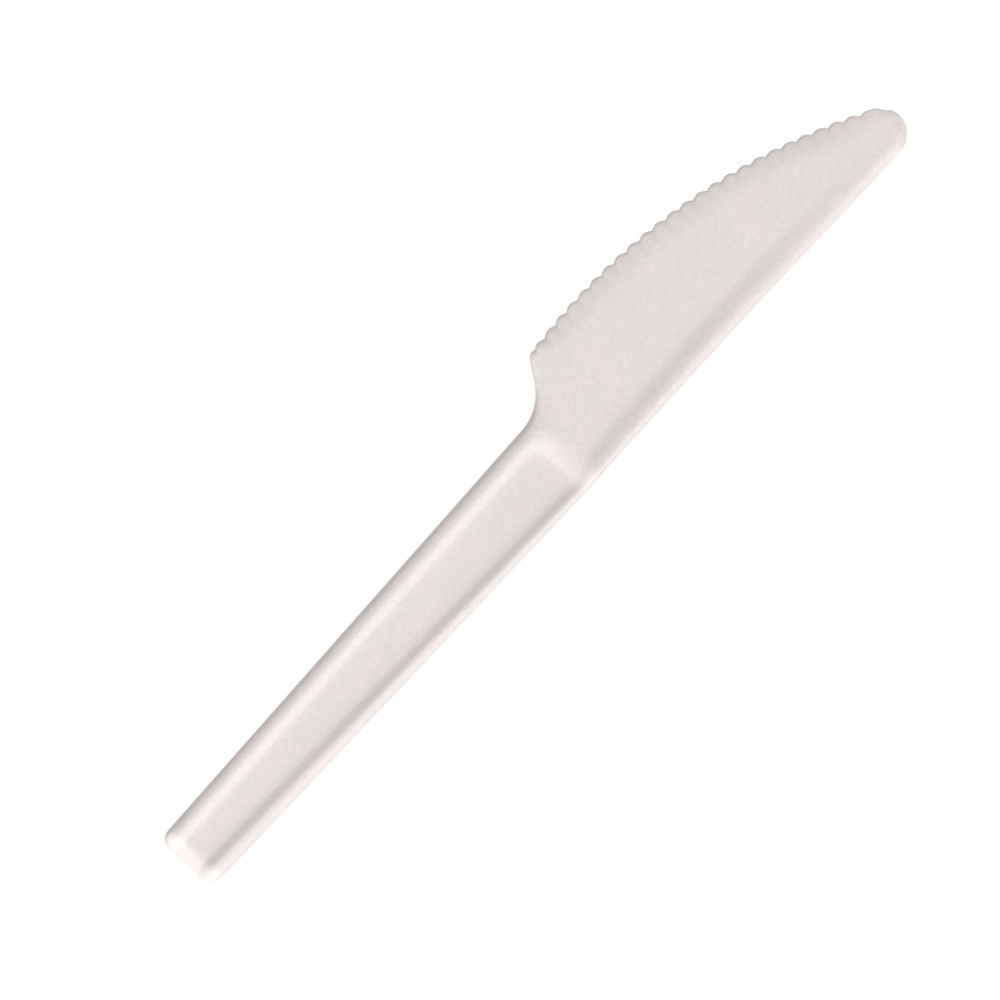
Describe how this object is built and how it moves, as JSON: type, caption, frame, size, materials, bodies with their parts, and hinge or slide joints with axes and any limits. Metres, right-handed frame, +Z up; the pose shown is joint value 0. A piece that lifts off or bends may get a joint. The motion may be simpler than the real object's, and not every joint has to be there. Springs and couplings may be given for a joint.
{
  "type": "disposable plastic knife",
  "caption": "Disposable plastic table knife in one off-white moulding, with a ribbed hollow-backed handle and a serrated blade.",
  "frame": {"origin": "middle of the knife's box, on the surface that its rim rests on", "axes": "+X along the knife towards the blade's tip, +Y across it towards the serrated edge, +Z up out of the show face"},
  "size_m": [0.165, 0.0224, 0.0047],
  "materials": {
    "plastic": "matte"
  },
  "bodies": {
    "root": {"knife": "plastic"}
  },
  "joints": []
}
